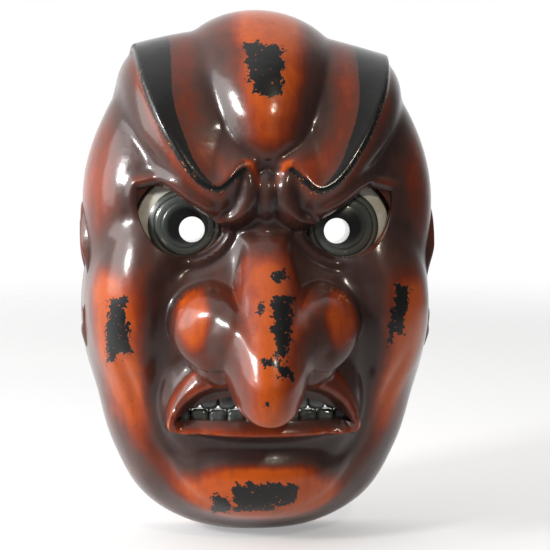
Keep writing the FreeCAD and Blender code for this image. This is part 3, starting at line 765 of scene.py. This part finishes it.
def iris_lacquer(s):
    """Black lacquer with grey rings, the rings following the distance from the eye's axis."""
    material, tree, shader = new_material("polished black lacquer with grey rings", Roughness=0.25,
                                          IOR=1.5, Coat_Weight=1.0, Coat_Roughness=0.14)
    # black to 0.45 of the iris, grey to 0.8, a dark line, grey to the edge
    colour = ramp(tree, from_axis(tree), [(0.0, s.black), (0.45, s.black), (0.56, "3C413E"),
                                          (0.79, "565B56"), (0.83, "2A2C2A"), (0.88, "666A64"),
                                          (0.95, "4A4E49"), (1.0, "242523")])
    tree.links.new(colour, shader.inputs["Base Color"])
    bumped(tree, shader, grain(tree, 2.2, 3), 0.04)
    return material


def bare_wood(s):
    """Oiled cypress as the gouge left it: growth rings as bands across the block, pores, and
    shallow facets of the gouge, darkened by handling."""
    material, tree, shader = new_material("oiled cypress left from the gouge", Roughness=0.62, IOR=1.45)
    where = node(tree, "ShaderNodeTexCoord").outputs["Object"]
    bent = node(tree, "ShaderNodeVectorMath", {0: where, 1: (1, 1, 0.06)}, operation="MULTIPLY").outputs[0]
    # growth rings about 3 mm apart, running up and down the block
    rings = node(tree, "ShaderNodeTexWave", {"Vector": bent, "Scale": 1000/3.0/20*6.3, "Distortion": 5.0,
                 "Detail": 3.0, "Detail Scale": 1.2}, wave_type="BANDS", bands_direction="X").outputs["Fac"]
    colour = mixed(tree, maths(tree, "MULTIPLY", rings, 0.6), linear(s.wood), linear(s.wood_dark))
    stain = remap(tree, grain(tree, 40, 4), 0.4, 0.7)
    colour = mixed(tree, maths(tree, "MULTIPLY", stain, 0.6), colour, linear(s.umber))
    tree.links.new(colour, shader.inputs["Base Color"])
    # gouge facets about 7 mm across and 0.5 mm deep
    cells = node(tree, "ShaderNodeTexVoronoi", {"Vector": where, "Scale": 1000/7, "Smoothness": 0.35},
                 feature="SMOOTH_F1").outputs["Distance"]
    height = maths(tree, "MULTIPLY_ADD", grain(tree, 0.8, 2, (1, 1, 0.1)), 0.08,
                   maths(tree, "MULTIPLY", cells, 0.5))
    bumped(tree, shader, height, 1.0)
    return material


# ------------------------------------------------------------------ pieces

class MakeShell(bpy.types.Operator):
    """Carved front, hollow back and flat rim of the mask, with its openings cut"""
    bl_idname = "noh_mask.make_shell"
    bl_label = "Mask shell"

    def execute(self, context):
        s, colours = context.scene.noh_carving, context.scene.noh_lacquer
        columns, rows = 264, 330
        p, q = face_grid(columns, rows, s)
        outer, height, reach, place = front(p, q, s)
        outer[1:-1, 1:-1] = blurred(outer)[1:-1, 1:-1]
        # the curls at the brows' ends are steep enough to need three more rounds
        hooks = spot(np.abs(place[0]), place[1], 12, 36, 9, 15)[..., None]
        outer = outer + (blurred(outer, 3) - outer)*hooks
        inner_columns, inner_rows = 86, 106
        inner = hollow(inner_columns, inner_rows, s)
        outer_ring = border(columns, rows)
        inner_ring = border(inner_columns, inner_rows) + columns*rows
        skin, lining = quads(columns, rows), quads(inner_columns, inner_rows, columns*rows)[:, ::-1]
        faces = listed(skin, lining) + self.rim(outer_ring, inner_ring)
        points = np.vstack([outer.reshape(-1, 3), inner.reshape(-1, 3)])
        edges = dark_lacquer("maroon lacquer in the cut edges", colours.maroon, colours.russet, 0.3)
        piece = put("mask_shell_carving", points, faces, slot="red_lacquer", replaces=["mask_shell"],
                    materials=[red_lacquer(colours), bare_wood(colours), edges])
        bare = np.ones(len(faces), int)
        bare[:len(skin)] = 0
        piece.data.polygons.foreach_set("material_index", bare)
        laid = np.zeros((len(points), 4))
        laid[:columns*rows] = paint(outer, height, reach, place).reshape(-1, 4)
        lay(piece.data, "paint", laid)
        outward(piece)
        sides = (1, -1)
        cutters = [slab("lid_cutter", lid_outline(side), -70, -44.6, 2) for side in sides]
        cutters += [slab("ball_cutter", lid_outline(side, BALL_RIM - 0.5, 0.98), -69, -34.5, 2)
                    for side in sides]
        cutters += [slab("seat_cutter", disc(side*EYE_OUT, EYE_UP, BALL_RIM + 0.1), -41.5, -16, 1)
                    for side in sides]
        cutters += [slab("mouth_cutter", mouth_outline(), -64, -34, 2)]
        cutters += [cord_cutter("cord_cutter", side) for side in sides]
        cut(piece, cutters)
        piece.data.polygons.foreach_set("use_smooth", np.ones(len(piece.data.polygons), bool))
        piece.data.set_sharp_from_angle(angle=math.radians(40))
        return {"FINISHED"}

    def rim(self, outer, inner):
        """Flat faces between the two rings of the rim, each joining a stretch of the outer
        ring to the matching span of the inner one."""
        marks = np.round(np.linspace(0, len(outer), len(inner), endpoint=False)).astype(int)
        marks = np.append(marks, len(outer)).tolist()
        ring, inner = outer.tolist() + [int(outer[0])], inner.tolist() + [int(inner[0])]
        return [ring[a:b + 1] + [near, far] for a, b, near, far
                in zip(marks, marks[1:], inner[1:], inner)]


class MakeEyes(bpy.types.Operator):
    """Domed eyeball plates and ringed irises, bored through for sight"""
    bl_idname = "noh_mask.make_eyes"
    bl_label = "Eyes"

    def execute(self, context):
        colours = context.scene.noh_lacquer
        white, black, wood = ball_lacquer(colours), iris_lacquer(colours), bare_wood(colours)
        for side, name in ((1, "left"), (-1, "right")):
            ball = self.turned(f"{name}_eyeball_plate", self.ball_profile(), side, "white_lacquer",
                               f"{name}_eyeball", [white, wood])
            iris = self.turned(f"{name}_iris_dome", self.iris_profile(), side, "black_lacquer",
                               f"{name}_iris", [black])
            behind = np.empty(3*len(ball.data.polygons))
            ball.data.polygons.foreach_get("center", behind)
            ball.data.polygons.foreach_set("material_index", (behind[1::3] > -38*MM).astype(int))
            for piece in (ball, iris):
                cut(piece, [slab("pupil_cutter", disc(side*PUPIL_OUT, PUPIL_UP, PUPIL_RIM), -52, -30)])
                piece.data.set_sharp_from_angle(angle=math.radians(38))
        return {"FINISHED"}

    def globe(self, r):
        """Depth of the eyeball's sphere at a distance r from its axis."""
        return EYE_FRONT + BALL_CURVE - np.sqrt(BALL_CURVE**2 - r**2)

    def ball_profile(self):
        """The sphere's front, a rim and a flat back."""
        r = np.linspace(0.02, BALL_RIM, 40)
        return np.vstack([np.column_stack([r, self.globe(r)]), [(BALL_RIM, BALL_BACK), (0.02, BALL_BACK)]])

    def iris_profile(self):
        """A sphere with two fine grooves, ending on the eyeball."""
        r = np.linspace(0.02, IRIS_RIM, 90)
        rings = 0.16*bell((r - 9.0)/0.5) + 0.24*bell((r - 11.8)/0.45)
        y = EYE_FRONT - IRIS_PROUD + IRIS_CURVE - np.sqrt(IRIS_CURVE**2 - r**2) + rings
        back = self.globe(r) + 0.4
        y = np.minimum(y, back - 0.15)
        return np.vstack([np.column_stack([r, y]), np.column_stack([r, back])[::-6]])

    def turned(self, name, profile, side, slot, replaced, materials, count=160):
        """Turns a closed profile of (radius, depth) about the eye's axis."""
        t = np.linspace(0, 2*math.pi, count, endpoint=False)[:, None]
        r, y = profile[:, 0], profile[:, 1]
        points = np.stack([side*EYE_OUT + r*np.cos(t), y + 0*t, EYE_UP + r*np.sin(t)], -1)
        n = len(profile)
        i = np.arange(count*n).reshape(count, n)
        faces = listed(between(np.vstack([i, i[:1]])), i[None, :, 0], i[None, ::-1, -1])
        piece = put(name, points.reshape(-1, 3), faces, slot=slot, replaces=[replaced], materials=materials)
        outward(piece)
        return piece


class MakeTeeth(bpy.types.Operator):
    """Two rows of rounded teeth behind the lips"""
    bl_idname = "noh_mask.make_teeth"
    bl_label = "Teeth"

    def execute(self, context):
        colours = context.scene.noh_lacquer
        pewter = dark_lacquer("polished grey-black lacquer", colours.tooth, colours.tooth_dark, 0.14, 0.12)
        wood = bare_wood(colours)
        rows = (("upper_teeth", -44.2, 4.9, 9), ("lower_teeth", -51.7, 2.5, 10))
        for name, up, half_tall, count in rows:
            sets = [self.tooth(at, up, half_tall) for at in (np.arange(count) - (count - 1)/2)*TOOTH_WIDE]
            sets.append(self.block(up, half_tall, TOOTH_WIDE*count/2 - 1))
            starts = np.cumsum([0] + [len(points) for points, _ in sets])
            faces = listed(*(own + start for (_, owned), start in zip(sets, starts) for own in owned))
            piece = put(name + "_row", np.vstack([points for points, _ in sets]), faces,
                        slot="tooth_lacquer", replaces=[name], crisp=60, materials=[pewter, wood])
            of_wood = np.zeros(len(faces), int)
            of_wood[-sum(map(len, sets[-1][1])):] = 1
            piece.data.polygons.foreach_set("material_index", of_wood)
            outward(piece)
        return {"FINISHED"}

    def block(self, up, half_tall, half_wide):
        """The strip of wood that a row of teeth is carved from, bowed like them."""
        x = np.linspace(-half_wide, half_wide, 33)
        bow = TOOTH_BOW - np.sqrt(TOOTH_BOW**2 - x**2)
        corners = [(-50.5, -0.8), (-46.5, -0.8), (-46.5, 0.8), (-50.5, 0.8)]
        points = np.stack([np.column_stack([x, y + bow, up + tall*half_tall + 0*x])
                           for y, tall in corners], 1)
        i = np.arange(points.shape[0]*4).reshape(-1, 4)
        return points.reshape(-1, 3), [between(np.hstack([i, i[:, :1]])), i[:1], i[-1:, ::-1]]

    def tooth(self, at, up, half_tall):
        """A ball squared off with power 4.5, as wide as its place and following the bow of
        the teeth."""
        a, b = np.meshgrid(np.linspace(0, 2*math.pi, 24, endpoint=False),
                           np.linspace(-math.pi/2, math.pi/2, 15)[1:-1], indexing="ij")
        x, y, z = np.cos(a)*np.cos(b), np.sin(a)*np.cos(b), np.sin(b)
        r = (np.abs(x)**4.5 + np.abs(y)**4.5 + np.abs(z)**4.5)**(-1/4.5)
        bow = TOOTH_BOW - math.sqrt(TOOTH_BOW**2 - at**2)
        points = np.stack([at + r*x*3.48, -51.8 + bow + r*y*2.9, up + r*z*half_tall], -1)
        i = np.arange(a.size).reshape(a.shape)
        return points.reshape(-1, 3), [between(np.vstack([i, i[:1]])), i[None, ::-1, 0], i[None, :, -1]]


class MakeEars(bpy.types.Operator):
    """Flat carved ears on the sides of the head"""
    bl_idname = "noh_mask.make_ears"
    bl_label = "Ears"

    def execute(self, context):
        lacquer = red_lacquer(context.scene.noh_lacquer)
        for side, name in ((1, "left"), (-1, "right")):
            a, b = np.meshgrid(np.linspace(-1, 1, 90), np.linspace(-1, 1, 150), indexing="ij")
            c, d = a*np.sqrt(1 - b*b/2), b*np.sqrt(1 - a*a/2)
            r = np.hypot(c, d)
            y, z = self.outline(c, d)
            rise = self.carving(c, d, r)
            face = np.stack([side*(66.6 + 0.93*rise), y, z], -1)
            back = np.stack([side*np.full(y.shape, 66.3), -16 + (y + 16)*0.9, 1 + (z - 1)*0.9], -1)
            n, m = y.shape
            one, two = border(n, m), border(n, m) + n*m
            wall = np.column_stack([one, np.roll(one, -1), np.roll(two, -1), two])
            faces = listed(quads(n, m), quads(n, m, n*m)[:, ::-1], wall)
            points = np.vstack([face.reshape(-1, 3), back.reshape(-1, 3)])
            piece = put(f"{name}_ear_carving", points, faces, slot="red_lacquer",
                        replaces=[f"{name}_ear"], materials=[lacquer])
            warm = 0.3 + 0.11*np.clip(rise - 5, -3, 3) + 0.25*ease(0.75, 0.95, r)
            values = np.zeros((len(points), 4))
            values[:, 0] = 0.3
            values[:n*m, 0] = np.clip(warm, 0, 1).ravel()
            lay(piece.data, "paint", values)
            outward(piece)
        return {"FINISHED"}

    def outline(self, c, d):
        """Bends the disc to an ear: wide and round above, drawn in to the lobe below."""
        width = 13.6*(0.78 + 0.22*np.sin(np.clip(d, -1, 1)*1.5 + 0.35))
        return -16 + width*c + 2.2*d, 1.5 + 32.5*d

    def carving(self, c, d, r):
        """Rim rolled round the ear but open in front below, a Y-shaped inner fold, a bowl and a
        plain lobe, all lower at the ear's waist."""
        open_front = ease(-0.9, -0.35, d)*(1 - 0.75*ease(-0.2, -0.7, c)*ease(0.45, 0.1, np.abs(d + 0.05)))
        rim = 2.6*bell((r - 0.84)/0.12)*open_front
        inner = along(fair([(0.25, -0.45), (0.42, -0.1), (0.3, 0.25), (0.0, 0.6)]), c, d)[0]
        fork = along(fair([(0.3, 0.22), (0.0, 0.32), (-0.3, 0.38)]), c, d)[0]
        folds = np.maximum(2.0*bell(inner/0.11), 1.5*bell(fork/0.1))
        bowl = -2.4*spot(c, d, -0.02, -0.08, 0.34, 0.26)
        lobe = 1.2*spot(c, d, 0.0, -0.8, 0.5, 0.22)
        waist = 1 - 0.5*bell((d + 0.17)/0.30)
        return (4.2 + rim + folds + bowl + lobe)*(1 - r**6)**0.5*waist


class MakeStage(bpy.types.Operator):
    """Pale floor, white room, soft boxes, small warm lamp and camera"""
    bl_idname = "noh_mask.make_stage"
    bl_label = "Stage"

    def execute(self, context):
        s = context.scene.noh_studio
        material, tree, shader = new_material("matt white paper", Roughness=0.9)
        shader.inputs["Base Color"].default_value = linear("F4F4F4")
        # the paper fades into the white room 20 to 80 cm from a place behind the mask
        where = node(tree, "ShaderNodeTexCoord").outputs["Object"]
        where = node(tree, "ShaderNodeVectorMath", {0: where, 1: (-0.15, -0.35, 0.1)},
                     operation="ADD").outputs[0]
        away = node(tree, "ShaderNodeVectorMath", {0: where}, operation="LENGTH").outputs["Value"]
        tree.links.new(remap(tree, away, 0.20, 0.80, 1.0, 0.0), shader.inputs["Alpha"])
        shader.inputs["Emission Color"].default_value = (1, 1, 1, 1)
        shader.inputs["Emission Strength"].default_value = 0.1
        # a square of 6 m, 1 mm under the mask
        square = np.array([[-3000, -3000, 0], [3000, -3000, 0], [3000, 3000, 0], [-3000, 3000, 0]])
        floor = put("floor", square + [0, 0, CAD_BOX[0][2]/MM - 1], [[0, 1, 2, 3]], materials=[material])
        context.scene.world = self.room(s)
        self.soft_box("key", (-0.70, -0.48, 0.32), 0.14, s.key)
        self.soft_box("window", (-0.95, -0.20, 0.30), 0.6, s.window)
        self.soft_box("top", (0.20, -0.72, 0.46), 0.05, s.top, (1.0, 0.90, 0.74))
        self.camera(context, s)
        context.scene.view_settings.view_transform = "Standard"
        return {"FINISHED"}

    def room(self, s):
        """A white room, dimmer in front and on the right than behind, above and on the left."""
        world = bpy.data.worlds.new("white room")
        world.use_nodes = True
        tree = world.node_tree
        where = node(tree, "ShaderNodeTexCoord").outputs["Generated"]
        split = node(tree, "ShaderNodeSeparateXYZ", {0: where})
        facing = maths(tree, "MULTIPLY_ADD", split.outputs[0], -0.8,
                       maths(tree, "MULTIPLY", split.outputs[1], 0.9))
        facing = maths(tree, "MULTIPLY_ADD", split.outputs[2], 0.75, facing)
        lit = remap(tree, facing, -0.25, 0.75, s.front, s.sky)
        lit = maths(tree, "MAXIMUM", lit, node(tree, "ShaderNodeLightPath").outputs["Is Camera Ray"])
        tree.nodes["Background"].inputs["Color"].default_value = (1, 1, 1, 1)
        tree.links.new(lit, tree.nodes["Background"].inputs["Strength"])
        return world

    def soft_box(self, name, place, wide, power, colour=(1, 1, 1)):
        """A square lamp facing the middle of the mask, in metres and watts."""
        light = bpy.data.lights.new(name, "AREA")
        light.energy, light.size, light.color = power, wide, colour
        lamp = bpy.data.objects.new(name, light)
        lamp.location = place
        lamp.rotation_mode = "QUATERNION"
        lamp.rotation_quaternion = (Vector((0, -0.04, 0)) - Vector(place)).to_track_quat("-Z", "Y")
        bpy.context.scene.collection.objects.link(lamp)

    def camera(self, context, s):
        """A camera looking level with the eyes' underside, turned by the three angles."""
        lens = bpy.data.cameras.new("camera")
        lens.sensor_width = 36
        lens.lens = 36*s.distance/s.view_width
        camera = bpy.data.objects.new("camera", lens)
        back = Vector((math.sin(s.azimuth)*math.cos(s.elevation),
                       -math.cos(s.azimuth)*math.cos(s.elevation), math.sin(s.elevation)))
        camera.location = Vector((0.0060, -0.030, 0.0016)) + back*s.distance
        camera.rotation_mode = "QUATERNION"
        camera.rotation_quaternion = (-back).to_track_quat("-Z", "Y") @ Quaternion((0, 0, 1), s.roll)
        context.scene.collection.objects.link(camera)
        context.scene.camera = camera


# ------------------------------------------------------------------ panel and running

class MaskPanel(bpy.types.Panel):
    """Lists the mask's pieces"""
    bl_idname = "VIEW3D_PT_noh_mask"
    bl_label = "Noh Mask"
    bl_space_type = "VIEW_3D"
    bl_region_type = "UI"
    bl_category = "Noh Mask"

    def draw(self, context):
        for step in STEPS:
            self.layout.operator(step.bl_idname)


STEPS = (MakeShell, MakeEyes, MakeTeeth, MakeEars, MakeStage)
SETTINGS = {"noh_carving": CarvingSettings, "noh_lacquer": LacquerSettings, "noh_studio": StudioSettings}


def register():
    for made in (*SETTINGS.values(), *STEPS, MaskPanel):
        bpy.utils.register_class(made)
    for name, group in SETTINGS.items():
        setattr(bpy.types.Scene, name, bpy.props.PointerProperty(type=group))


def unregister():
    for name in SETTINGS:
        delattr(bpy.types.Scene, name)
    for made in reversed((*SETTINGS.values(), *STEPS, MaskPanel)):
        bpy.utils.unregister_class(made)


def main():
    """Builds every piece in order."""
    register()
    for step in STEPS:
        group, name = step.bl_idname.split(".")
        getattr(getattr(bpy.ops, group), name)()


if __name__ == "__main__":
    main()
